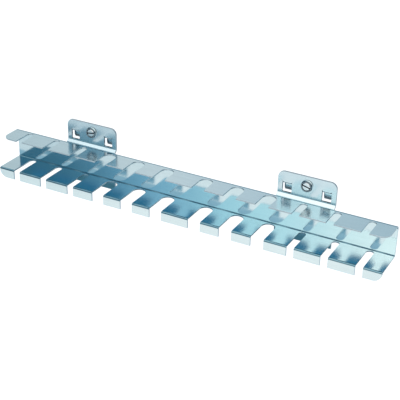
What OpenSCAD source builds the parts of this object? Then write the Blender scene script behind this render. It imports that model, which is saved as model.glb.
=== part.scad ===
// Wall rack for twelve screwdrivers: a slotted, folded steel rail that hangs on a perforated
// panel by two hook brackets, each locked by a clamp screw.
//
// Frame: X runs along the rail, -Y points at the user and Z is up. The origin is midway
// between the brackets, on the panel's face, level with the lower edges of the panel holes
// that the hooks sit on.

/* [Rail sheet] */
// Thickness of the rail's sheet
rail_sheet = 1.25; // [1:0.05:2]
// Inside radius of the bend from the top flange to the web
top_bend_r = 2; // [0.5:0.1:2.5]
// Inside radius of the bend from the web to the bottom flange
bottom_bend_r = 0.8; // [0.4:0.1:1.5]
// Inside radius of the lip's bend
lip_bend_r = 0.4; // [0.3:0.1:1]
// Height of the rail's web over both flanges
web_height = 31; // [27:0.5:40]
// Depth of the top flange from the back of the web to its front edge
top_flange_depth = 26.8; // [24:0.1:33]
// Depth of the bottom flange from the back of the web to the front of its lip
bottom_flange_depth = 33.5; // [30:0.5:42]
// Drop of the lip from the top face of the bottom flange to its lower edge
lip_drop = 10; // [9:0.5:14]
// Radius of the two outer corners of the top flange
top_corner_r = 9; // [5:0.5:12]
// Radius of the lower outer corner of the two end lips
lip_corner_r = 8.7; // [5:0.1:9]

/* [Tool slots] */
// Number of tool slots
slots = 12; // [10:2:14]
// Number of wide slots, in the middle of the row
wide_slots = 6; // [2:2:8]
// Distance between neighbouring slots in each half of the rail
slot_pitch = 32; // [28:0.5:36]
// Distance between the two middle slots
middle_gap = 41; // [36:0.5:50]
// Distance from the last slot's centre to the end of the rail
end_margin = 20.7; // [18:0.1:30]
// Width of a wide slot
wide_slot_w = 13; // [10:0.2:15]
// Width of a narrow slot
narrow_slot_w = 7.1; // [5:0.1:9]
// Distance from the back of the web to the round end of each slot in the top flange
top_slot_gap = 4.8; // [4.5:0.1:9]
// The same in the bottom flange
bottom_slot_gap = 3.2; // [3:0.1:7]

/* [Hook brackets] */
// Thickness of the brackets' sheet
bracket_sheet = 2; // [1.5:0.1:2.5]
// Distance between neighbouring holes of the panel
hole_pitch = 38; // [30:1:42]
// Number of panel holes from one bracket to the next
bracket_hole_count = 6; // [5:1:7]
// Side land between each hook's window and the edge of the bracket
side_land = 4.4; // [3:0.1:8]
// Height of the bracket's top edge above the hook seats
plate_rise = 12; // [11:0.5:20]
// Radius of the bracket's top corners
plate_corner_r = 6; // [3:0.5:8]
// Land between the hook windows and the joggle
window_land = 0.6; // [0.4:0.1:5]
// Forward step of the joggle, from the plate to the leg
joggle_step = 3; // [2.4:0.1:6]
// Slope of the joggle away from the vertical, in degrees
joggle_angle = 45; // [40:1:60]
// Inside radius of the joggle's two bends
joggle_bend_r = 1; // [0.5:0.1:1.5]
// Height of the joggle's upper bend above the rail's top face
rail_below_joggle = 2; // [0.5:0.1:4]
// Length of leg that shows below the bottom flange
leg_below = 10; // [4:0.5:14]

/* [Hooks] */
// Width of each hook
hook_w = 8; // [6:0.1:9]
// Gap between the plate and the hook, for the panel's sheet and its play
hook_gap = 2; // [1.8:0.1:3]
// Length of the hook below its seat
hook_drop = 7.5; // [4:0.1:9]
// Inside radius of the hook's bends
hook_bend_r = 0.5; // [0.3:0.1:0.8]
// Width of the lanced slit beside and below each hook
lance_slit = 0.6; // [0.4:0.1:1.2]
// Height of the lead-in taper on the front of the hook's tip
hook_taper = 3; // [1.5:0.1:3.4]
// Depth of the lead-in taper at the lower end of the hook
hook_lead_in = 1.2; // [0.6:0.1:1.4]

/* [Clamp screws] */
// Outer diameter of the clamp screw's thread
screw_d = 8; // [6:0.5:9]
// Length of the clamp screw
screw_length = 4; // [3.5:0.1:5]
// Width of the screwdriver slot in the screw's front end
driver_slot_w = 1.2; // [0.8:0.1:1.6]
// Depth of the screwdriver slot
driver_slot_depth = 1.6; // [1:0.1:2.2]
// Height of the screw's axis above the hook seats
screw_rise = 3; // [2:0.5:4]
// Wall of the drawn collar round the thread
collar_wall = 1.2; // [1:0.05:1.8]
// Height of the collar in front of the plate
collar_height = 2.2; // [1:0.1:3]
// Radius at the collar's foot and at the drawn-in edge behind it
collar_foot_r = 0.6; // [0.4:0.1:1.1]
// Running clearance round the screw
screw_clearance = 0.05; // [0.03:0.01:0.08]

/* [Hidden] */
$fn = 64;

cut = 1;                  // overrun of every cutter past the face it leaves
bend_steps = 8;           // facets in each of the joggle's bends
root_overlap = 1;         // how far each hook's section runs up into the plate
collar_rim_r = 0.5;       // rounding of the collar's rim
screw_chamfer = 0.6;      // chamfer at both ends of the screw
left_screw_angle = 8;     // how far each screw's slot happens to be turned at rest, in degrees
right_screw_angle = -14;

// Heights, from the hook seats down
root_z = bracket_sheet + hook_bend_r;
window_low_z = -hook_drop - lance_slit;
joggle_top_z = window_low_z - window_land;
rail_top_z = joggle_top_z - rail_below_joggle;
rail_low_z = rail_top_z - web_height;
leg_low_z = rail_low_z - leg_below;

// Depths, from the panel's face forward
web_back_y = -joggle_step - bracket_sheet;
top_front_y = web_back_y - top_flange_depth;
plate_front_y = -bracket_sheet;

// Lengths
half_rail = middle_gap / 2 + (slots / 2 - 1) * slot_pitch + end_margin;
top_outer_r = top_bend_r + rail_sheet;
bottom_outer_r = bottom_bend_r + rail_sheet;
lip_outer_r = lip_bend_r + rail_sheet;
window_w = hook_w + 2 * lance_slit;
bracket_w = hole_pitch + window_w + 2 * side_land;
bracket_x = bracket_hole_count * hole_pitch / 2;
collar_r = screw_d / 2 + collar_wall;

// Where slot number i stands, from the left, and how wide it is
function slot_rank(i) = i - (slots - 1) / 2;
function slot_x(i) = sign(slot_rank(i)) * (middle_gap / 2 + (abs(slot_rank(i)) - 0.5) * slot_pitch);
function slot_w(i) = abs(slot_rank(i)) < wide_slots / 2 ? wide_slot_w : narrow_slot_w;

// Section through one bend: part of a ring, from angle a0 to angle a1, less than 180 degrees apart
module ring_sector(inner_r, outer_r, a0, a1) {
    reach = 2 * outer_r;
    mid = (a0 + a1) / 2;
    intersection() {
        difference() {
            circle(outer_r);
            circle(inner_r);
        }
        polygon([
            [0, 0],
            reach * [cos(a0), sin(a0)],
            reach * [cos(mid), sin(mid)],
            reach * [cos(a1), sin(a1)]
        ]);
    }
}

// Section through a folded strip of sheet. It starts along +X with its right face on the axis,
// and after each run it turns by the next angle, positive to the left, round the next inside radius.
module folded_strip(sheet, bend_radii, runs, turns, i = 0) {
    square([runs[i], sheet]);
    if (i < len(turns)) {
        turn = turns[i];
        bend_r = bend_radii[i];
        left = turn > 0;
        pivot_y = left ? sheet + bend_r : -bend_r;
        translate([runs[i], pivot_y]) {
            if (left) {
                ring_sector(bend_r, bend_r + sheet, -90, turn - 90);
            } else {
                ring_sector(bend_r, bend_r + sheet, 90 + turn, 90);
            }
            rotate(turn)
                translate([0, -pivot_y])
                    folded_strip(sheet, bend_radii, runs, turns, i + 1);
        }
    }
}

// Stretches a section, drawn with Y to its right and Z up, along X to both sides of x = 0
module along_x(width) {
    rotate([90, 0, 90])
        linear_extrude(height = width, center = true)
            children();
}

// Cutter that rounds the corner at the origin of a sheet that lies in the +X +Y quarter
module corner_round(r, depth) {
    linear_extrude(height = depth)
        difference() {
            translate([-cut, -cut])
                square(r + cut);
            translate([r, r])
                circle(r);
        }
}

// The rail's section: top flange, web, bottom flange and lip
module rail_section() {
    translate([top_front_y, rail_top_z - rail_sheet])
        folded_strip(rail_sheet, [top_bend_r, bottom_bend_r, lip_bend_r], [
            top_flange_depth - top_outer_r,
            web_height - top_outer_r - bottom_outer_r,
            bottom_flange_depth - bottom_outer_r - lip_outer_r,
            lip_drop - lip_outer_r
        ], [-90, -90, 90]);
}

// An open slot with a round end, which stops the gap in front of the web's back
module open_slot(w, gap, low, high) {
    translate([0, web_back_y - gap - w / 2, low]) {
        cylinder(r = w / 2, h = high - low);
        translate([-w / 2, -bottom_flange_depth, 0])
            cube([w, bottom_flange_depth, high - low]);
    }
}

// One tool slot, through the top flange, the bottom flange and its lip
module slot_cutter(w) {
    between = (rail_top_z + rail_low_z) / 2;
    open_slot(w, top_slot_gap, between, rail_top_z + cut);
    open_slot(w, bottom_slot_gap, rail_low_z + rail_sheet - lip_drop - cut, between);
}

// Rounded outer corners at the rail's right end
module rail_end_cutters() {
    translate([half_rail, top_front_y, rail_top_z - rail_sheet - cut])
        mirror([1, 0, 0])
            corner_round(top_corner_r, rail_sheet + 2 * cut);
    translate([half_rail, web_back_y - bottom_flange_depth - cut, rail_low_z + rail_sheet - lip_drop])
        rotate([90, 0, 180])
            corner_round(lip_corner_r, rail_sheet + 2 * cut);
}

module tool_rail() {
    color("lightsteelblue")
        difference() {
            along_x(2 * half_rail)
                rail_section();
            for (i = [0 : slots - 1])
                translate([slot_x(i), 0, 0])
                    slot_cutter(slot_w(i));
            for (side = [0, 1])
                mirror([side, 0, 0])
                    rail_end_cutters();
        }
}

// Points along an arc about a centre, from angle a0 to angle a1
function arc_points(centre, r, a0, a1) = [
    for (k = [0 : bend_steps])
        let (a = a0 + (a1 - a0) * k / bend_steps)
            centre + r * [cos(a), sin(a)]
];

// The bracket's section: plate, joggle and leg. The slanted bends belong to one outline, because
// separate arcs would meet the slope with rounding errors.
module bracket_section() {
    outer_r = joggle_bend_r + bracket_sheet;
    bend_drop = (joggle_bend_r + outer_r) * sin(joggle_angle);
    bend_step = (joggle_bend_r + outer_r) * (1 - cos(joggle_angle));
    slope_drop = (joggle_step - bend_step) / tan(joggle_angle);
    upper = [plate_front_y - joggle_bend_r, joggle_top_z];
    lower = [web_back_y + outer_r, joggle_top_z - bend_drop - slope_drop];
    polygon(concat(
        [[plate_front_y, plate_rise]],
        arc_points(upper, joggle_bend_r, 0, -joggle_angle),
        arc_points(lower, outer_r, 180 - joggle_angle, 180),
        [[web_back_y, leg_low_z], [web_back_y + bracket_sheet, leg_low_z]],
        arc_points(lower, joggle_bend_r, 180, 180 - joggle_angle),
        arc_points(upper, outer_r, -joggle_angle, 0),
        [[0, plate_rise]]
    ));
}

// One hook: from its root at the top of the window, back through the panel and down behind it.
// The front of its tip tapers back, so that it finds its way behind the panel.
module hook() {
    taper_slope = hook_lead_in / hook_taper;
    difference() {
        along_x(hook_w)
            translate([plate_front_y, root_z + root_overlap])
                rotate(-90)
                    folded_strip(bracket_sheet, [hook_bend_r, hook_bend_r],
                        [root_overlap, hook_gap - 2 * hook_bend_r, hook_drop - hook_bend_r], [90, -90]);
        translate([0, hook_gap, -hook_drop])
            along_x(hook_w + 2 * cut)
                polygon([
                    [-cut, hook_taper],
                    [0, hook_taper],
                    [taper_slope * (hook_taper + cut), -cut],
                    [-cut, -cut]
                ]);
    }
}

module hook_window() {
    translate([-window_w / 2, plate_front_y - cut, window_low_z])
        cube([window_w, bracket_sheet + 2 * cut, root_z - window_low_z]);
}

// Collar drawn forward out of the plate, with a filleted foot and a rounded rim
module collar() {
    translate([0, plate_front_y, screw_rise])
        rotate([90, 0, 0])
            rotate_extrude() {
                difference() {
                    square([collar_r, collar_height]);
                    translate([collar_r - collar_rim_r, collar_height - collar_rim_r])
                        difference() {
                            square(collar_rim_r + cut);
                            circle(collar_rim_r);
                        }
                }
                translate([collar_r, 0])
                    difference() {
                        square(collar_foot_r);
                        translate([collar_foot_r, collar_foot_r])
                            circle(collar_foot_r);
                    }
            }
}

// The collar's bore and the drawn-in edge on the plate's back
module collar_bore() {
    bore_r = screw_d / 2 + screw_clearance;
    translate([0, 0, screw_rise])
        rotate([90, 0, 0]) {
            translate([0, 0, -cut])
                cylinder(r = bore_r, h = cut + bracket_sheet + collar_height + cut);
            rotate_extrude()
                difference() {
                    translate([0, -cut])
                        square([bore_r + collar_foot_r, collar_foot_r + cut]);
                    translate([bore_r + collar_foot_r, collar_foot_r])
                        circle(collar_foot_r);
                }
        }
}

module hook_bracket() {
    difference() {
        along_x(bracket_w)
            bracket_section();
        for (side = [0, 1])
            mirror([side, 0, 0])
                translate([bracket_w / 2, cut, plate_rise])
                    rotate([90, 180, 0])
                        corner_round(plate_corner_r, bracket_sheet + 2 * cut);
        for (x = [-hole_pitch / 2, hole_pitch / 2])
            translate([x, 0, 0])
                hook_window();
        collar_bore();
    }
    for (x = [-hole_pitch / 2, hole_pitch / 2])
        translate([x, 0, 0])
            hook();
    difference() {
        collar();
        collar_bore();
    }
}

module left_hook_bracket() {
    color("lightblue")
        translate([-bracket_x, 0, 0])
            hook_bracket();
}

module right_hook_bracket() {
    color("lightblue")
        translate([bracket_x, 0, 0])
            hook_bracket();
}

// Headless screw with a screwdriver slot. Its point is flush with the back of the plate.
module clamp_screw(slot_angle) {
    r = screw_d / 2;
    translate([0, 0, screw_rise])
        rotate([90, 0, 0])
            difference() {
                union() {
                    cylinder(r1 = r - screw_chamfer, r2 = r, h = screw_chamfer);
                    translate([0, 0, screw_chamfer])
                        cylinder(r = r, h = screw_length - 2 * screw_chamfer);
                    translate([0, 0, screw_length - screw_chamfer])
                        cylinder(r1 = r, r2 = r - screw_chamfer, h = screw_chamfer);
                }
                rotate(slot_angle)
                    translate([-r - cut, -driver_slot_w / 2, screw_length - driver_slot_depth])
                        cube([2 * (r + cut), driver_slot_w, driver_slot_depth + cut]);
            }
}

module left_clamp_screw() {
    color("silver")
        translate([-bracket_x, 0, 0])
            clamp_screw(left_screw_angle);
}

module right_clamp_screw() {
    color("silver")
        translate([bracket_x, 0, 0])
            clamp_screw(right_screw_angle);
}

tool_rail();
left_hook_bracket();
right_hook_bracket();
left_clamp_screw();
right_clamp_screw();
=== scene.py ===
"""Screwdriver rack: folded zinc-plated rail on two hook brackets, with two clamp screws.

The object's sizes are in millimetres, in the CAD model's frame, and become metres when a mesh
is made. The stage (floor, cards and camera) is in metres where nothing else is said.
"""
import math

import bmesh
import bpy
from mathutils import Matrix, Vector


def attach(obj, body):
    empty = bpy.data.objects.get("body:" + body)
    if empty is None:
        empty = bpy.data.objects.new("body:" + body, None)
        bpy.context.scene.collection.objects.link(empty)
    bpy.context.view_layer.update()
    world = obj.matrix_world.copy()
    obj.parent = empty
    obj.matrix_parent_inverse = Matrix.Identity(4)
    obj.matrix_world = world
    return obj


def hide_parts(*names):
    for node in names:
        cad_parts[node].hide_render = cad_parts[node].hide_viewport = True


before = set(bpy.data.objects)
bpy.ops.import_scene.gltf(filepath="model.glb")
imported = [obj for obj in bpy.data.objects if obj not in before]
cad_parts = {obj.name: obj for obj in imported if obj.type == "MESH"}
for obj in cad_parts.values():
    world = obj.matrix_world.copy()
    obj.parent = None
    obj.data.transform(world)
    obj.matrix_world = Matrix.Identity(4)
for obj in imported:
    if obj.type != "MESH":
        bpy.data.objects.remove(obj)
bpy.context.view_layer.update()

PER_METRE = 1000
QUARTER, HALF_TURN, WHOLE_TURN = math.pi / 2, math.pi, 2 * math.pi
MATCH_DIGITS, TINY = 4, 1e-6                    # corners this close, in millimetres, are one

# ---------------------------------------------------------------- sizes of the CAD model
RAIL_SHEET, TOP_BEND_R, BOTTOM_BEND_R, LIP_BEND_R = 1.25, 2.0, 0.8, 0.4
WEB_HEIGHT, TOP_DEPTH, BOTTOM_DEPTH, LIP_DROP = 31.0, 26.8, 33.5, 10.0
TOP_CORNER_R, LIP_CORNER_R = 9.0, 8.7
SLOTS, WIDE_SLOTS, SLOT_PITCH, MIDDLE_GAP, END_MARGIN = 12, 6, 32.0, 41.0, 20.7
WIDE_SLOT_W, NARROW_SLOT_W, TOP_SLOT_GAP, BOTTOM_SLOT_GAP = 13.0, 7.1, 4.8, 3.2
BRACKET_SHEET, HOLE_PITCH, HOLES_BETWEEN, BRACKET_W = 2.0, 38.0, 6, 56.0
PLATE_RISE, PLATE_CORNER_R = 12.0, 6.0
JOGGLE_STEP, JOGGLE_ANGLE, JOGGLE_BEND_R, JOGGLE_TOP_Z = 3.0, math.radians(45), 1.0, -8.7
LEG_LOW_Z = -51.7
HOOK_W, HOOK_GAP, HOOK_DROP, HOOK_BEND_R, LANCE_SLIT = 8.0, 2.0, 7.5, 0.5, 0.6
HOOK_TAPER, HOOK_LEAD_IN = 3.0, 1.2
SCREW_D, SCREW_LENGTH, SCREW_RISE, SCREW_CLEARANCE, SCREW_CHAMFER = 8.0, 4.0, 3.0, 0.05, 0.6
DRIVER_SLOT_W, DRIVER_SLOT_DEPTH = 1.2, 1.6
COLLAR_WALL, COLLAR_HEIGHT, COLLAR_FOOT_R, COLLAR_RIM_R = 1.2, 2.2, 0.6, 0.5
SCREW_TURNS = {"left": math.radians(8), "right": math.radians(-14)}

RAIL_TOP_Z = -10.7
WEB_BACK_Y = -JOGGLE_STEP - BRACKET_SHEET
HALF_RAIL = MIDDLE_GAP / 2 + (SLOTS / 2 - 1) * SLOT_PITCH + END_MARGIN
BRACKET_X = HOLES_BETWEEN * HOLE_PITCH / 2
COLLAR_HOLE_R = SCREW_D / 2 + COLLAR_WALL + COLLAR_FOOT_R      # in the plate, under the foot
WINDOW_W = HOOK_W + 2 * LANCE_SLIT
WINDOW_TOP_Z = BRACKET_SHEET + HOOK_BEND_R
WINDOW_LOW_Z = -HOOK_DROP - LANCE_SLIT

# ---------------------------------------------------------------- sizes that only the meshes have
SHEET_BREAK, SCREW_BREAK = 0.13, 0.05           # width of the broken edges
BREAK_ANGLE = math.radians(32)                  # edges sharper than this are broken
BREAK_SEGMENTS = 3
BEND_TURN, JOGGLE_TURN = math.radians(9), math.radians(6)       # most turn of one facet
CORNER_FACETS, SLOT_FACETS, COLLAR_FACETS, FOOT_FACETS, RIM_FACETS = 12, 18, 48, 6, 4
SLOT_ROW = 0.9                                  # from a slot's end to the next row of corners
COLLAR_CELL = 6.6                               # half the square of plate round the collar
FOOT_STEP, BORE_CHAMFER = 0.01, 0.25
SCREW_FACETS = 24                               # on each half of the screw
THREAD_PITCH, THREAD_RUN_OUT = 1.25, 0.3
THREAD = ((0.12, 0.0), (0.5, 0.36), (0.7, 0.36), (1.1, 0.0))    # (depth, groove) in one turn

FACE, CUT_EDGE = 0, 1                           # material slots of both kinds of sheet
# The first of the rail's slots below is painted shade along the folds.
FOLD_SHADE, TOP_FLANGE = 2, 3                           # of the rail
# The brackets' slot below is painted dark reflection on the hook tips and the collar.
DARK_REFLECTION = 2                                        # of the brackets
# The screws' slot below is painted shade inside the driver slot.
DRIVER_SLOT = 1                                 # of the screws


# ---------------------------------------------------------------- sheet metal as a mesh
def ahead(angle):
    return Vector((math.cos(angle), math.sin(angle)))


def leftward(angle):
    return Vector((-math.sin(angle), math.cos(angle)))


class Fold:
    """The middle surface of a folded strip, seen from its end, from where it starts.

    A step is the length of a straight run, or the inside radius and the angle of a bend.
    """

    def __init__(self, start, heading, sheet, steps):
        self.sheet = sheet
        self.parts = []
        self.length = 0.0
        point, angle = Vector(start), heading
        for step in steps:
            if isinstance(step, tuple):
                radius, turn = step[0] + sheet / 2, step[1]
                side = math.copysign(1, turn)
                centre = point + leftward(angle) * radius * side
                run = radius * abs(turn)
                self.parts.append(("bend", self.length, run, centre, angle, radius, side))
                angle += turn
                point = centre - leftward(angle) * radius * side
            else:
                run = step
                self.parts.append(("run", self.length, run, point.copy(), angle, 0, 0))
                point = point + ahead(angle) * run
            self.length += run

    def at(self, u):
        """The point at length u along the strip, and the direction to its left."""
        for kind, start, run, origin, angle, radius, side in self.parts:
            if u <= start + run + 1e-9 or self.parts[-1][1] == start:
                break
        if kind == "bend":
            angle += side * (u - start) / radius
            return origin - leftward(angle) * radius * side, leftward(angle)
        return origin + ahead(angle) * (u - start), leftward(angle)

    def bent(self, u):
        return any(kind == "bend" and start < u < start + run
                   for kind, start, run, *_ in self.parts)

    def pair(self, x, u):
        """The two skin points, left and right of the strip's heading, over (x, u)."""
        point, left = self.at(u)
        a, b = point + left * self.sheet / 2, point - left * self.sheet / 2
        return (x, a.x, a.y), (x, b.x, b.y)

    def rows(self, first, last, most):
        """Lengths from first to last, with no step in a bend turning more than most."""
        found = [first]
        for kind, start, run, _, _, radius, _ in self.parts:
            low, high = max(start, first), min(start + run, last)
            if high - low < TINY:
                continue
            n = max(1, math.ceil((high - low) / radius / most - TINY)) if kind == "bend" else 1
            found += [low + (high - low) * (k + 1) / n for k in range(n)]
        return found


class Skin:
    """A sheet as polygons of point pairs, one point on each skin. The rim closes it."""

    def __init__(self):
        self.index = {}
        self.pairs = []
        self.polygons = []
        self.slots = []

    def vertex(self, pair):
        key = tuple(round(c, MATCH_DIGITS) for p in pair for c in p)
        if key not in self.index:
            self.index[key] = len(self.pairs)
            self.pairs.append(pair)
        return self.index[key]

    def add(self, pairs, slot=FACE):
        found = []
        for pair in pairs:
            i = self.vertex(pair)
            if not found or found[-1] != i:
                found.append(i)
        if found[0] == found[-1]:
            found.pop()
        if len(found) > 2:
            self.polygons.append(found)
            self.slots.append(slot)

    def mesh(self, name):
        bm = bmesh.new()
        left = [bm.verts.new(Vector(a) / PER_METRE) for a, _ in self.pairs]
        right = [bm.verts.new(Vector(b) / PER_METRE) for _, b in self.pairs]
        used = {}
        for polygon, slot in zip(self.polygons, self.slots):
            bm.faces.new([left[i] for i in polygon]).material_index = slot
            bm.faces.new([right[i] for i in reversed(polygon)]).material_index = slot
            used.update(dict.fromkeys(zip(polygon, polygon[1:] + polygon[:1])))
        for a, b in used:
            if (b, a) not in used:
                rim = bm.faces.new([left[b], left[a], right[a], right[b]])
                rim.material_index = CUT_EDGE
        return finished(bm, name)


def finished(bm, name):
    """The mesh that bm holds, with its faces turned outwards."""
    bmesh.ops.recalc_face_normals(bm, faces=bm.faces)
    made = bpy.data.meshes.new(name)
    bm.to_mesh(made)
    bm.free()
    return made


def conform(polygons):
    """Adds to each polygon's straight sides the corners of its neighbours that lie on them."""
    polygons = [
        [(round(x, MATCH_DIGITS), round(u, MATCH_DIGITS)) for x, u in polygon]
        for polygon in polygons
    ]
    on_x, on_u = {}, {}
    for x, u in {corner for polygon in polygons for corner in polygon}:
        on_x.setdefault(x, set()).add(u)
        on_u.setdefault(u, set()).add(x)
    done = []
    for polygon in polygons:
        whole = []
        for (ax, au), (bx, bu) in zip(polygon, polygon[1:] + polygon[:1]):
            whole.append((ax, au))
            if ax == bx:
                between = [u for u in on_x[ax] if min(au, bu) < u < max(au, bu)]
                whole += [(ax, u) for u in sorted(between, reverse=au > bu)]
            elif au == bu:
                between = [x for x in on_u[au] if min(ax, bx) < x < max(ax, bx)]
                whole += [(x, au) for x in sorted(between, reverse=ax > bx)]
        done.append(whole)
    return done


def arc(x, u, r, first, last, facets):
    """Points on a circle round (x, u), from one angle to another."""
    angles = [first + (last - first) * k / facets for k in range(facets + 1)]
    return [(x + r * math.cos(a), u + r * math.sin(a)) for a in angles]


def rounded(x, u, r, quarter):
    """The arc of a rounded corner, which lies in one quarter of the circle."""
    return arc(x, u, r, quarter * QUARTER, (quarter + 1) * QUARTER, CORNER_FACETS)


def place(name, mesh, body, materials, replaced, edge_break=SHEET_BREAK):
    """An object for a mesh, with broken edges and its materials, that stands for a CAD node."""
    for polygon in mesh.polygons:
        polygon.use_smooth = True
    for material in materials:
        mesh.materials.append(material)
    made = bpy.data.objects.new(name, mesh)
    bpy.context.scene.collection.objects.link(made)
    cut = made.modifiers.new("broken_edges", "BEVEL")
    cut.width = edge_break / PER_METRE
    cut.segments = BREAK_SEGMENTS
    cut.limit_method = "ANGLE"
    cut.angle_limit = BREAK_ANGLE
    cut.use_clamp_overlap = True
    weigh = made.modifiers.new("flat_faces", "WEIGHTED_NORMAL")
    weigh.keep_sharp = True
    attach(made, body)
    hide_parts(replaced)
    return made


# ---------------------------------------------------------------- the tool rail
def slot_x(i):
    rank = i - (SLOTS - 1) / 2
    return math.copysign(MIDDLE_GAP / 2 + (abs(rank) - 0.5) * SLOT_PITCH, rank)


def slot_w(i):
    return WIDE_SLOT_W if abs(i - (SLOTS - 1) / 2) < WIDE_SLOTS / 2 else NARROW_SLOT_W


def rail_mesh():
    """The rail as one strip, from the top flange's front edge down to the lip's."""
    top_outer, low_outer, lip_outer = (
        RAIL_SHEET + r for r in (TOP_BEND_R, BOTTOM_BEND_R, LIP_BEND_R))
    fold = Fold(
        (WEB_BACK_Y - TOP_DEPTH, RAIL_TOP_Z - RAIL_SHEET / 2), 0.0, RAIL_SHEET,
        [
            TOP_DEPTH - top_outer, (TOP_BEND_R, -QUARTER),
            WEB_HEIGHT - top_outer - low_outer, (BOTTOM_BEND_R, -QUARTER),
            BOTTOM_DEPTH - low_outer - lip_outer, (LIP_BEND_R, QUARTER),
            LIP_DROP - lip_outer,
        ],
    )
    _, top_bend, _, _, low_flange, lip_bend, lip = (part[1] for part in fold.parts)
    end = fold.length
    top_end = TOP_DEPTH - TOP_SLOT_GAP          # the slots' ends, as lengths along the strip
    low_end = low_flange + BOTTOM_SLOT_GAP - low_outer
    top_row, low_row = top_end + SLOT_ROW, low_end - SLOT_ROW
    lip_rows = fold.rows(lip_bend, lip, BEND_TURN)
    lip_r = min(LIP_CORNER_R, end - lip)        # the corner starts at the bend

    polygons, bends = [], []
    slots = [(slot_x(i), slot_w(i) / 2) for i in range(SLOTS)]
    edges = [-HALF_RAIL] + [v for x, h in slots for v in (x - h, x + h)] + [HALF_RAIL]
    for k in range(SLOTS + 1):                  # the teeth
        x0, x1 = edges[2 * k], edges[2 * k + 1]
        at_left, at_right = k == 0, k == SLOTS
        left = [] if at_left else [slots[k - 1][1]]     # half the slot on that side, if any
        right = [] if at_right else [slots[k][1]]
        r = TOP_CORNER_R
        front = rounded(x0 + r, r, r, 2) if at_left else [(x0, 0.0)]
        front += rounded(x1 - r, r, r, 3) if at_right else [(x1, 0.0)]
        polygons.append(
            front + [(x1, top_end - h) for h in right]
            + [(x1, top_row), (x0, top_row)] + [(x0, top_end - h) for h in left])
        polygons.append(
            [(x0, low_row), (x1, low_row)] + [(x1, low_end + h) for h in right]
            + [(x1, lip_bend), (x0, lip_bend)] + [(x0, low_end + h) for h in left])
        bends += [[(x0, a), (x1, a), (x1, b), (x0, b)] for a, b in zip(lip_rows, lip_rows[1:])]
        r = lip_r
        low = rounded(x1 - r, end - r, r, 0) if at_right else [(x1, end)]
        low += rounded(x0 + r, end - r, r, 1) if at_left else [(x0, end)]
        polygons.append([(x0, lip), (x1, lip)] + low)
    xs = set(edges)
    for x, h in slots:                          # the round ends of the slots
        for centre, row, sign in ((top_end - h, top_row, 1), (low_end + h, low_row, -1)):
            ring = arc(x, centre, h, sign * HALF_TURN, 0, SLOT_FACETS)
            for (ax, au), (bx, bu) in zip(ring, ring[1:]):
                polygons.append([(ax, au), (bx, bu), (bx, row), (ax, row)][::sign])
            xs.update(point[0] for point in ring)
    xs = sorted({round(x, MATCH_DIGITS + 1) for x in xs})
    rows = [top_row] + fold.rows(top_bend, low_flange, BEND_TURN) + [low_row]
    for a, b in zip(rows, rows[1:]):            # the web and its two bends
        bends += [[(x0, a), (x1, a), (x1, b), (x0, b)] for x0, x1 in zip(xs, xs[1:])]

    def slot_of(polygon):
        """The bends and the flat strip before the first get painted shade, the top flange is
        duller.
        """
        middle = (min(u for _, u in polygon) + max(u for _, u in polygon)) / 2
        if fold.bent(middle) or top_row < middle < top_bend:
            return FOLD_SHADE
        return TOP_FLANGE if middle < top_row else FACE

    skin = Skin()
    for polygon in conform(polygons + bends):
        skin.add([fold.pair(x, u) for x, u in polygon], slot_of(polygon))
    return skin.mesh("tool_rail_skin")


# ---------------------------------------------------------------- the hook brackets
def u_of(z):
    """The length along the bracket's strip at a height on its plate."""
    return PLATE_RISE - z


def bracket_mesh(cx, side):
    """Plate, joggle and leg, two lanced hooks and the drawn collar, round x = cx."""
    centre_r = JOGGLE_BEND_R + BRACKET_SHEET / 2
    slope = (JOGGLE_STEP - 2 * centre_r * (1 - math.cos(JOGGLE_ANGLE))) / math.sin(JOGGLE_ANGLE)
    drop = 2 * centre_r * math.sin(JOGGLE_ANGLE) + slope * math.cos(JOGGLE_ANGLE)
    fold = Fold(
        (-BRACKET_SHEET / 2, PLATE_RISE), -QUARTER, BRACKET_SHEET,
        [
            PLATE_RISE - JOGGLE_TOP_Z, (JOGGLE_BEND_R, -JOGGLE_ANGLE), slope,
            (JOGGLE_BEND_R, JOGGLE_ANGLE), JOGGLE_TOP_Z - drop - LEG_LOW_Z,
        ],
    )
    skin = Skin()
    for polygon in conform(plate_polygons(fold)):
        skin.add([fold.pair(cx + x, u) for x, u in polygon])
    add_collar(skin, cx)
    for hook_x in (cx - HOLE_PITCH / 2, cx + HOLE_PITCH / 2):
        add_hook(skin, hook_x)
    return skin.mesh(f"{side}_hook_bracket_skin")


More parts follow.
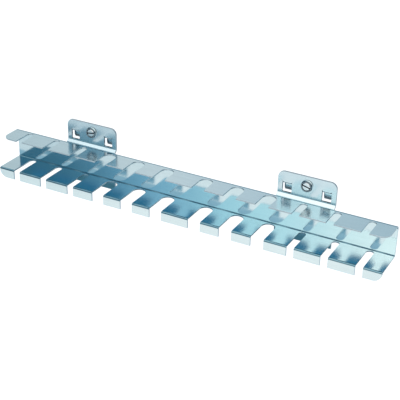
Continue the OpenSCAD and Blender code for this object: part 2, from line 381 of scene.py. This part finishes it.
def plate_polygons(fold):
    """The bracket's flat blank round x = 0, with its two windows and the collar's round hole."""
    half, r, cell = BRACKET_W / 2, PLATE_CORNER_R, COLLAR_CELL
    win_top, win_low, plate_low = u_of(WINDOW_TOP_Z), u_of(WINDOW_LOW_Z), u_of(JOGGLE_TOP_Z)
    cell_top, cell_low = u_of(SCREW_RISE + cell), u_of(SCREW_RISE - cell)
    near, far = HOLE_PITCH / 2 - WINDOW_W / 2, HOLE_PITCH / 2 + WINDOW_W / 2
    root_near, root_far = HOLE_PITCH / 2 - HOOK_W / 2, HOLE_PITCH / 2 + HOOK_W / 2
    polygons = [
        rounded(-half + r, r, r, 2) + [(-cell, 0)]
        + [(x, win_top) for x in (-cell, -root_near, -root_far, -half)],
        [(cell, 0)] + rounded(half - r, r, r, 3)
        + [(x, win_top) for x in (half, root_far, root_near, cell)],
    ]

    def box(x0, x1, u0, u1):
        polygons.append([(x0, u0), (x1, u0), (x1, u1), (x0, u1)])

    for x0, x1 in ((-half, -far), (-near, -cell), (cell, near), (far, half)):
        box(x0, x1, win_top, win_low)
    box(-cell, cell, 0, cell_top)
    box(-cell, cell, cell_low, win_low)
    box(-half, half, win_low, plate_low)
    hole = arc(0, u_of(SCREW_RISE), COLLAR_HOLE_R, 0, WHOLE_TURN, COLLAR_FACETS)[:-1]
    corners = [(cell, cell_low), (-cell, cell_low), (-cell, cell_top), (cell, cell_top)]
    for k in range(4):                          # between the cell's sides and the hole
        first = COLLAR_FACETS // 8 * (2 * k + 1)
        inner = [hole[(first + j) % COLLAR_FACETS] for j in range(COLLAR_FACETS // 4 + 1)]
        polygons.append([corners[k], corners[(k + 1) % 4]] + inner[::-1])
    rows = fold.rows(plate_low, fold.length, JOGGLE_TURN)
    for a, b in zip(rows, rows[1:]):
        box(-half, half, a, b)
    return polygons


def add_collar(skin, cx):
    """The drawn collar: rings of pairs, from the plate over the foot and the wall to the rim."""
    bore, wall, foot = SCREW_D / 2 + SCREW_CLEARANCE, SCREW_D / 2 + COLLAR_WALL, COLLAR_HOLE_R
    back_r = bore + COLLAR_FOOT_R
    rim_start = COLLAR_HEIGHT - COLLAR_RIM_R
    outer = [(foot, 0.0), (foot - FOOT_STEP, 0.0)]      # (radius, height over the plate's front)
    inner = [(foot, -BRACKET_SHEET), (back_r, -BRACKET_SHEET)]
    for k in range(1, FOOT_FACETS + 1):
        a = QUARTER * k / FOOT_FACETS
        in_by, up_by = COLLAR_FOOT_R * math.sin(a), COLLAR_FOOT_R * (1 - math.cos(a))
        outer.append((foot - in_by, up_by))
        inner.append((back_r - in_by, up_by - BRACKET_SHEET))
    outer.append((wall, rim_start))
    inner.append((bore, rim_start))
    for k in range(1, RIM_FACETS + 1):
        a = QUARTER * k / RIM_FACETS
        outer.append((wall - COLLAR_RIM_R * (1 - math.cos(a)),
                      COLLAR_HEIGHT - COLLAR_RIM_R * (1 - math.sin(a))))
        inner.append((bore + BORE_CHAMFER * k / RIM_FACETS,
                      rim_start + COLLAR_RIM_R * k / RIM_FACETS))

    def point(radius, height, angle):
        return (cx + radius * math.cos(angle), -(BRACKET_SHEET + height),
                SCREW_RISE - radius * math.sin(angle))

    def pair(k, turn):
        angle = WHOLE_TURN * turn / COLLAR_FACETS
        return point(*inner[k], angle), point(*outer[k], angle)

    wall_start = FOOT_FACETS + 1
    # from the foot on, the collar's wall and rim get painted dark reflection
    for k in range(len(outer) - 1):
        for t in range(COLLAR_FACETS):
            skin.add([pair(k, t), pair(k, t + 1), pair(k + 1, t + 1), pair(k + 1, t)],
                     FACE if k < wall_start else DARK_REFLECTION)


def add_hook(skin, x):
    """A lanced hook, which goes on from the top of its window, back and down."""
    bend = Fold(
        (-BRACKET_SHEET / 2, WINDOW_TOP_Z), -QUARTER, BRACKET_SHEET,
        [
            (HOOK_BEND_R, QUARTER), HOOK_GAP - 2 * HOOK_BEND_R,
            (HOOK_BEND_R, -QUARTER), HOOK_DROP - HOOK_BEND_R,
        ],
    )
    x0, x1 = x - HOOK_W / 2, x + HOOK_W / 2
    rows = bend.rows(0, bend.length - HOOK_TAPER, BEND_TURN)
    for a, b in zip(rows, rows[1:]):
        skin.add([bend.pair(x0, a), bend.pair(x1, a), bend.pair(x1, b), bend.pair(x0, b)])
    # the tapered tip gets painted dark reflection
    tip = []
    for end_x in (x1, x0):
        back, front = bend.pair(end_x, bend.length)
        tip.append((back, (front[0], front[1] + HOOK_LEAD_IN, front[2])))
    skin.add([bend.pair(x0, rows[-1]), bend.pair(x1, rows[-1])] + tip, DARK_REFLECTION)


# ---------------------------------------------------------------- the clamp screws
def screw_profile(slot_low):
    """(Radius, depth) down the screw's side, with a point where the driver slot ends."""
    r = SCREW_D / 2
    profile = [(r - SCREW_CHAMFER, 0.0), (r, SCREW_CHAMFER)]
    depth = SCREW_CHAMFER
    while depth + THREAD_PITCH < SCREW_LENGTH - SCREW_CHAMFER + THREAD_RUN_OUT:
        profile += [(r - groove, depth + further) for further, groove in THREAD]
        depth += THREAD_PITCH
    profile += [(r, SCREW_LENGTH - SCREW_CHAMFER), (r - SCREW_CHAMFER, SCREW_LENGTH)]
    for (ra, da), (rb, db) in zip(profile, profile[1:]):
        if da < slot_low < db:
            profile.append((ra + (rb - ra) * (slot_low - da) / (db - da), slot_low))
            break
    return sorted(profile, key=lambda point: point[1])


def screw_mesh(cx, side):
    """Headless screw with a driver slot, its axis along Y and its slotted end in front."""
    bm = bmesh.new()
    half_slot, half_n = DRIVER_SLOT_W / 2, SCREW_FACETS
    slot_low = SCREW_LENGTH - DRIVER_SLOT_DEPTH

    def ring(radius, depth):
        """Both ends of the slot's middle line, and arcs between them from wall to wall."""
        wall = math.asin(half_slot / radius)
        arc_angles = [
            wall + (HALF_TURN - 2 * wall) * k / (half_n - 2) for k in range(half_n - 1)]
        angles = [0.0] + arc_angles + [HALF_TURN] + [a + HALF_TURN for a in arc_angles]
        return [
            bm.verts.new(Vector((
                cx + radius * math.cos(a + SCREW_TURNS[side]), -depth,
                SCREW_RISE + radius * math.sin(a + SCREW_TURNS[side]))) / PER_METRE)
            for a in angles
        ]

    profile = screw_profile(slot_low)
    rings = [ring(*point) for point in profile]
    n = 2 * half_n
    cut_away = {n - 1, 0, half_n - 1, half_n}   # the quads where the slot meets the side
    for (_, depth), a, b in zip(profile, rings, rings[1:]):
        for k in range(n):
            if depth < slot_low - TINY or k not in cut_away:
                bm.faces.new([a[k], a[(k + 1) % n], b[(k + 1) % n], b[k]])
    bm.faces.new(rings[0])
    cut = [line for (_, depth), line in zip(profile, rings) if depth > slot_low - TINY]
    # the slot's walls and floor get painted shade
    for first in (1, half_n + 1):               # half of the end, and the slot's wall beside it
        last = first + half_n - 2
        bm.faces.new(cut[-1][first:last + 1])
        wall = bm.faces.new([line[first] for line in cut] + [line[last] for line in cut[::-1]])
        wall.material_index = DRIVER_SLOT
    low = cut[0]
    floor_corners = (n - 1, 0, 1, half_n - 1, half_n, half_n + 1)
    bm.faces.new([low[k] for k in floor_corners]).material_index = DRIVER_SLOT
    return finished(bm, f"{side}_clamp_screw_mesh")


# ---------------------------------------------------------------- materials
class Nodes:
    """Short ways to add nodes to a tree. A value is a socket, a number, a colour or a vector."""

    def __init__(self, tree):
        self.tree = tree

    def feed(self, socket, value):
        if isinstance(value, bpy.types.NodeSocket):
            self.tree.links.new(value, socket)
        elif socket.type == "RGBA":
            socket.default_value = (*value, 1)
        else:
            socket.default_value = value

    def add(self, kind, *in_order, **by_name):
        """A node with values for its inputs, in their order or by name (with _ for a space)."""
        node = self.tree.nodes.new("ShaderNode" + kind)
        for socket, value in zip(node.inputs, in_order):
            self.feed(socket, value)
        for name, value in by_name.items():
            self.feed(node.inputs[name.replace("_", " ")], value)
        return node

    def maths(self, operation, *values):
        node = self.add("Math")
        node.operation = operation
        for socket, value in zip(node.inputs, values):
            self.feed(socket, value)
        return node.outputs[0]

    def ease(self, value, low, high):
        """0 at low, 1 at high, and smooth between. Either may be the larger."""
        node = self.add("MapRange", Value=value, From_Min=low, From_Max=high)
        node.interpolation_type = "SMOOTHSTEP"
        return node.outputs["Result"]

    def blend(self, fac, a, b, how="MIX"):
        node = self.add("Mix")
        node.data_type, node.blend_type = "RGBA", how
        for socket, value in ((0, fac), (6, a), (7, b)):
            self.feed(node.inputs[socket], value)
        return node.outputs[2]

    def ramp(self, value, stops):
        node = self.add("ValToRGB", value)
        marks = node.color_ramp.elements
        while len(marks) < len(stops):
            marks.new(0.5)
        for mark, (position, colour) in zip(marks, stops):
            mark.position = position
            mark.color = (*colour, 1)
        return node.outputs["Color"]

    def noise(self, vector, scale, detail):
        return self.add("TexNoise", Vector=vector, Scale=scale, Detail=detail).outputs["Fac"]

    def coordinates(self, kind):
        return self.add("TexCoord").outputs[kind]

    def split(self, vector):
        return self.add("SeparateXYZ", vector).outputs


def new_material(name):
    material = bpy.data.materials.new(name)
    material.use_nodes = True
    material.node_tree.nodes.clear()
    return material, Nodes(material.node_tree)


CLOUD_SCALE, CLOUD_DETAIL = 22.0, 3.0
STREAK_SCALE, GRAIN_SCALE, FINE_DETAIL = 420.0, 900.0, 2.0
ROLLED_ALONG_X = (0.03, 1.0, 1.0)
GRAIN_HEIGHT = 0.0002                           # metres


def zinc(name, tint, rough, spangle=0.03, bump=0.02, grain_span=0.2):
    """Plated sheet: clouds and rolling streaks along X in the colour, fine grain in the gloss.

    spangle and grain_span are the shares by which the tint and the roughness vary.
    """
    material, n = new_material(name)
    flat = n.coordinates("Object")
    rolled = n.add("Mapping", Vector=flat, Scale=ROLLED_ALONG_X).outputs["Vector"]
    cloud = n.noise(flat, CLOUD_SCALE, CLOUD_DETAIL)
    streak = n.noise(rolled, STREAK_SCALE, FINE_DETAIL)
    grain = n.noise(flat, GRAIN_SCALE, FINE_DETAIL)
    average = n.maths("MULTIPLY_ADD", cloud, 0.5, n.maths("MULTIPLY", streak, 0.5))
    colour = n.ramp(average, [
        (0.3, [c * (1 - spangle) for c in tint]),
        (0.7, [min(1, c * (1 + spangle)) for c in tint]),
    ])
    gloss = n.add(
        "MapRange", Value=grain, To_Min=rough * (1 - grain_span), To_Max=rough * (1 + grain_span))
    relief = n.add("Bump", Strength=bump, Distance=GRAIN_HEIGHT, Height=grain)
    shader = n.add(
        "BsdfPrincipled", Metallic=1.0, Base_Color=colour, Roughness=gloss.outputs["Result"],
        Normal=relief.outputs["Normal"])
    n.add("OutputMaterial", Surface=shader.outputs["BSDF"])
    return material


rail_zinc = zinc("rail_zinc", (0.71, 0.84, 0.87), 0.125, spangle=0.04)
rail_top = zinc("rail_top_zinc", (0.71, 0.84, 0.87), 0.21, spangle=0.04)
rail_edge = zinc("rail_cut_edge", (0.52, 0.61, 0.66), 0.4, spangle=0.08, bump=0.2)
# painted shade: dark blue zinc along the folds and on the top flange's strip before the first
rail_fold_shade = zinc("rail_fold_painted_shade", (0.20, 0.36, 0.43), 0.2, spangle=0.05, bump=0.05)
bracket_zinc = zinc("bracket_zinc", (0.72, 0.84, 0.88), 0.22, bump=0.006, grain_span=0.1)
bracket_edge = zinc("bracket_cut_edge", (0.40, 0.46, 0.50), 0.4, spangle=0.06, bump=0.2)
# painted dark reflection on the hook tips' lead-in and on the collar's wall and rim
painted_dark_reflection = zinc("painted_dark_reflection", (0.16, 0.21, 0.24), 0.16, spangle=0.05, bump=0.01)
screw_zinc = zinc("screw_zinc", (0.95, 0.97, 0.98), 0.3)
# painted shade inside the driver slot
painted_slot_shade = zinc("painted_slot_shade_zinc", (0.20, 0.25, 0.28), 0.4)

place(
    "tool_rail_sheet", rail_mesh(), "rack",
    [rail_zinc, rail_edge, rail_fold_shade, rail_top], "tool_rail",
)
for side, sign in (("left", -1), ("right", 1)):
    place(
        f"{side}_hook_bracket_sheet", bracket_mesh(sign * BRACKET_X, side), "rack",
        [bracket_zinc, bracket_edge, painted_dark_reflection], f"{side}_hook_bracket",
    )
    place(
        f"{side}_clamp_screw_body", screw_mesh(sign * BRACKET_X, side), f"{side}_clamp_screw",
        [screw_zinc, painted_slot_shade], f"{side}_clamp_screw", edge_break=SCREW_BREAK,
    )

# ---------------------------------------------------------------- floor and cards
FLOOR_Z, FLOOR_HALF, FLOOR_COLOUR, FLOOR_LIFT = -0.35, 6, (0.86, 0.87, 0.88), 0.3
CARDS_X = 0.24                                  # how far the cards reach sideways
TABLE_Z, TABLE_BACK_Y, TABLE_LEFT_Y, TABLE_RIGHT_Y = -0.0526, -0.003, -0.0385, -0.0415
TABLE_SHADES_PER_METRE = 20.0
# The rack's shadow on the table, painted in the card's colour.
TABLE_SHADES = [                                # by 20 times the metres in front of the panel
    (0.06, (0.01, 0.03, 0.04)), (0.10, (0.06, 0.17, 0.22)), (0.36, (0.05, 0.15, 0.21)),
    (0.54, (0.27, 0.45, 0.57)), (0.85, (0.33, 0.53, 0.64)),
]
# A card that only metal sees, in painted shade for the bottom flange to mirror.
SHADE_CARD_Z, SHADE_CARD_BACK_Y, SHADE_CARD_FRONT_Y, SHADE_CARD_RIGHT_X = -0.0114, -0.0322, -0.048, 0.2
SHADE_CARD_COLOUR = (0.03, 0.15, 0.29)
SHADE_CARD_FADE = (32.0, 44.0)                        # in millimetres here, in front of the panel
SHADE_CARD_WINDOW, SHADE_CARD_WINDOW_SHIFT = (3.0, 9.5), 2.2        # from a slot's middle, and leftwards


def stage_plane(name, corners, material):
    """One flat face of the surroundings."""
    mesh = bpy.data.meshes.new(name)
    mesh.from_pydata(corners, [], [(0, 1, 2, 3)])
    mesh.materials.append(material)
    made = bpy.data.objects.new(name, mesh)
    bpy.context.scene.collection.objects.link(made)
    return made


def only_metal_sees(card):
    card.visible_camera = card.visible_diffuse = card.visible_shadow = False


def floor_material():
    """Matt and pale. The camera sees it lifted to white, apart from the object's shadow.

    From below it is clear, so that the underside can be looked at.
    """
    material, n = new_material("pale_floor")
    lift = n.maths("MULTIPLY", n.add("LightPath").outputs["Is Camera Ray"], FLOOR_LIFT)
    matte = n.add("BsdfDiffuse", Color=FLOOR_COLOUR).outputs["BSDF"]
    glow = n.add("Emission", Strength=lift).outputs["Emission"]
    lifted = n.add("AddShader", matte, glow).outputs["Shader"]
    from_below = n.add("NewGeometry").outputs["Backfacing"]
    clear = n.add("BsdfTransparent").outputs["BSDF"]
    sided = n.add("MixShader", from_below, lifted, clear)
    n.add("OutputMaterial", Surface=sided.outputs["Shader"])
    return material


def table_shadow_material():
    """A glowing card close under the rack, only seen by metal, with the rack's shadow on the
    table painted on: darkest at the web, paler forwards.
    """
    material, n = new_material("table_with_painted_shadow")
    y = n.split(n.coordinates("Object"))[1]
    # painted shadow of the rack, by distance in front of the panel
    shade = n.ramp(n.maths("MULTIPLY", y, -TABLE_SHADES_PER_METRE), TABLE_SHADES)
    glow = n.add("Emission", Color=shade)
    n.add("OutputMaterial", Surface=glow.outputs["Emission"])
    return material


def flange_shade_card_material():
    """A glowing blue card just in front of the top flange, only seen by metal: painted shade that
    the bottom flange mirrors.

    It thins out forwards and at the slots, and from above it is clear.
    """
    material, n = new_material("flange_shade_card")
    x, y, _ = n.split(n.coordinates("Object"))
    forwards = n.ease(n.maths("MULTIPLY", y, -PER_METRE), *SHADE_CARD_FADE)
    across = n.maths("MULTIPLY", x, PER_METRE)
    across = n.maths("ABSOLUTE", n.maths("ADD", across, SHADE_CARD_WINDOW_SHIFT))
    from_slot = n.maths("PINGPONG", n.maths("SUBTRACT", across, MIDDLE_GAP / 2), SLOT_PITCH / 2)
    window = n.maths("SUBTRACT", 1.0, n.ease(from_slot, *SHADE_CARD_WINDOW))
    from_above = n.add("NewGeometry").outputs["Backfacing"]
    thin = n.maths("MAXIMUM", n.maths("MAXIMUM", forwards, window), from_above)
    # painted shade: the card glows dark blue where it is not clear
    glow = n.add("Emission", Color=SHADE_CARD_COLOUR).outputs["Emission"]
    clear = n.add("BsdfTransparent").outputs["BSDF"]
    n.add("OutputMaterial", Surface=n.add("MixShader", thin, glow, clear).outputs["Shader"])
    return material


floor = stage_plane(
    "floor",
    [(x * FLOOR_HALF, y * FLOOR_HALF, FLOOR_Z) for x, y in ((-1, -1), (1, -1), (1, 1), (-1, 1))],
    floor_material())
floor.visible_glossy = False                    # metal mirrors the studio below instead
table = stage_plane(
    "table_with_painted_shadow",
    [
        (-CARDS_X, TABLE_LEFT_Y, TABLE_Z), (CARDS_X, TABLE_RIGHT_Y, TABLE_Z),
        (CARDS_X, TABLE_BACK_Y, TABLE_Z), (-CARDS_X, TABLE_BACK_Y, TABLE_Z),
    ],
    table_shadow_material())
only_metal_sees(table)
flange_shade_card = stage_plane(
    "flange_shade_card",
    [
        (-CARDS_X, SHADE_CARD_FRONT_Y, SHADE_CARD_Z), (-CARDS_X, SHADE_CARD_BACK_Y, SHADE_CARD_Z),
        (SHADE_CARD_RIGHT_X, SHADE_CARD_BACK_Y, SHADE_CARD_Z), (SHADE_CARD_RIGHT_X, SHADE_CARD_FRONT_Y, SHADE_CARD_Z),
    ],
    flange_shade_card_material())
only_metal_sees(flange_shade_card)

# ---------------------------------------------------------------- the studio round the object
# Colours that metal mirrors, by direction. Right and left are the user's.
SKY_RIGHT, SKY_LEFT, SKY_SIDE = (1.3, 1.35, 1.3), (1.35, 1.32, 1.28), (0.95, 1.05, 1.10)
SKY_BACK = (0.95, 0.98, 1.0)
PALE_RIGHT, PALE_LEFT = (1.02, 1.01, 1.0), (0.88, 0.92, 0.93)
DULLER_RIGHT, DULLER_LEFT = (0.87, 0.95, 0.98), (0.43, 0.57, 0.65)
PALE_BACK, BEHIND_DARK, GAP_DARK = (0.52, 0.62, 0.68), (0.02, 0.05, 0.07), (0.02, 0.09, 0.13)
LOW_BACK = [                                    # by the share of 90 degrees from the back
    (0.178, (0.43, 0.54, 0.62)), (0.206, (0.48, 0.60, 0.67)), (0.278, (0.55, 0.64, 0.71)),
    (0.300, (0.58, 0.66, 0.72)), (0.322, (0.67, 0.72, 0.76)), (0.367, (0.68, 0.73, 0.76)),
    (0.394, (0.57, 0.66, 0.71)), (0.433, (0.55, 0.63, 0.67)),
]
BLUE_FLAG = [                                   # by the share of 90 degrees from the front
    (0.178, (1.4, 1.32, 1.25)), (0.210, (1.15, 1.17, 1.15)), (0.244, (0.80, 1.02, 1.06)),
    (0.276, (0.71, 0.98, 1.03)), (0.299, (0.52, 0.79, 0.89)), (0.322, (0.36, 0.62, 0.78)),
    (0.348, (0.25, 0.49, 0.68)), (0.367, (0.15, 0.36, 0.52)), (0.387, (0.06, 0.2, 0.3)),
    (0.422, (0.035, 0.145, 0.225)), (0.75, (0.03, 0.13, 0.2)), (0.95, (0.5, 0.65, 0.75)),
]
SIDEWAYS = 90.0                                 # degrees
DEPTHS = 5.0
BY_DEPTH = [                                    # by the share of DEPTHS that a ray has come
    (0.62, (1.0, 1.0, 1.0)), (0.78, (0.06, 0.26, 0.42)), (1.0, (0.08, 0.28, 0.40)),
]
BEHIND_RACK = (-0.52, 0.75, -0.41)              # dark to rays that come out of the channel
PALE_TILT = -0.2                                # how far the pale edge sinks to the left
LIGHT, BACKGROUND = (0.92, 0.94, 0.96), (1.0, 1.0, 1.0)


def studio(n, depth):
    """The surroundings that metal mirrors: soft boxes, a dark gap at eye level, a blue flag.

    Angles are in degrees, height from eye level, and the others towards the user's left.
    """
    x, y, z = n.split(n.coordinates("Generated"))
    leftwards = n.maths("MULTIPLY", x, -1.0)
    to_left = n.maths(
        "DEGREES", n.maths("ARCTAN2", leftwards, n.maths("MULTIPLY", y, -1.0)))
    from_back = n.maths("DEGREES", n.maths("ARCTAN2", leftwards, y))
    height = n.maths("DEGREES", n.maths("ARCSINE", z))
    back = n.ease(y, -0.15, 0.15)
    front = n.maths("SUBTRACT", 1.0, back)
    # above eye level
    sky = n.blend(n.ease(to_left, 16.0, 26.0), SKY_RIGHT, SKY_LEFT)
    beside = n.maths("MULTIPLY", n.ease(to_left, 40.0, 50.0), n.ease(height, 70.0, 56.0))
    sky = n.blend(beside, sky, SKY_SIDE)
    sky = n.blend(back, sky, SKY_BACK)
    low_back = n.ramp(n.maths("DIVIDE", from_back, SIDEWAYS), LOW_BACK)
    sky = n.blend(n.maths("MULTIPLY", back, n.ease(height, 52.0, 32.0)), sky, low_back)
    flag = n.ramp(n.maths("DIVIDE", to_left, SIDEWAYS), BLUE_FLAG)
    upper = n.blend(n.maths("MULTIPLY", n.ease(height, 42.0, 35.0), front), sky, flag)
    # below it
    pale = n.blend(n.ease(to_left, 30.0, 42.0), PALE_RIGHT, PALE_LEFT)
    duller = n.blend(n.ease(to_left, 14.0, 38.0), DULLER_RIGHT, DULLER_LEFT)
    tilted = n.maths("ADD", height, n.maths("MULTIPLY", to_left, PALE_TILT))
    pale = n.blend(n.ease(tilted, -32.6, -30.8), pale, duller)
    pale = n.blend(n.maths("MULTIPLY", back, n.ease(height, -38.0, -8.0)), pale, PALE_BACK)
    along = [n.maths("MULTIPLY", part, share) for part, share in zip((x, y, z), BEHIND_RACK)]
    behind = n.maths("ADD", along[0], n.maths("ADD", along[1], along[2]))
    twice_mirrored = n.ease(depth, 2.4, 2.6)
    lower = n.blend(
        n.maths("MULTIPLY", twice_mirrored, n.ease(behind, 0.86, 0.93)), pale, BEHIND_DARK)
    whole = n.blend(n.ease(height, -6.0, 2.0), lower, upper)
    gap = n.maths("MULTIPLY", n.ease(height, -12.0, -5.0), n.ease(height, 20.0, 12.0))
    whole = n.blend(n.maths("MULTIPLY", gap, front), whole, GAP_DARK)
    # light that has been through the channel several times is weak and blue
    return n.blend(1.0, whole, n.ramp(n.maths("DIVIDE", depth, DEPTHS), BY_DEPTH), "MULTIPLY")


world = bpy.data.worlds.new("studio")
bpy.context.scene.world = world
world.use_nodes = True
world.node_tree.nodes.clear()
world_nodes = Nodes(world.node_tree)
rays = world_nodes.add("LightPath").outputs
mirrored = studio(world_nodes, rays["Ray Depth"])
lit = world_nodes.blend(rays["Is Glossy Ray"], LIGHT, mirrored)
seen = world_nodes.blend(rays["Is Camera Ray"], lit, BACKGROUND)
surroundings = world_nodes.add("Background", Color=seen)
world_nodes.add("OutputWorld", Surface=surroundings.outputs["Background"])

# ---------------------------------------------------------------- camera
CAMERA_AT = (0.4019, -0.7516, 0.4010)
CAMERA_FORWARD, CAMERA_UP = (-0.41321, 0.78529, -0.46107), (-0.23526, 0.39707, 0.88712)
camera = bpy.data.cameras.new("camera")
camera.lens, camera.sensor_width = 90.76, 36.0
camera.clip_start, camera.clip_end = 0.05, 20
eye = bpy.data.objects.new("camera", camera)
bpy.context.scene.collection.objects.link(eye)
forward = Vector(CAMERA_FORWARD).normalized()
right = forward.cross(Vector(CAMERA_UP).normalized()).normalized()
up = right.cross(forward)
turned = Matrix((right, up, -forward)).transposed()
eye.matrix_world = Matrix.Translation(CAMERA_AT) @ turned.to_4x4()
bpy.context.scene.camera = eye
bpy.context.scene.view_settings.view_transform = "Standard"
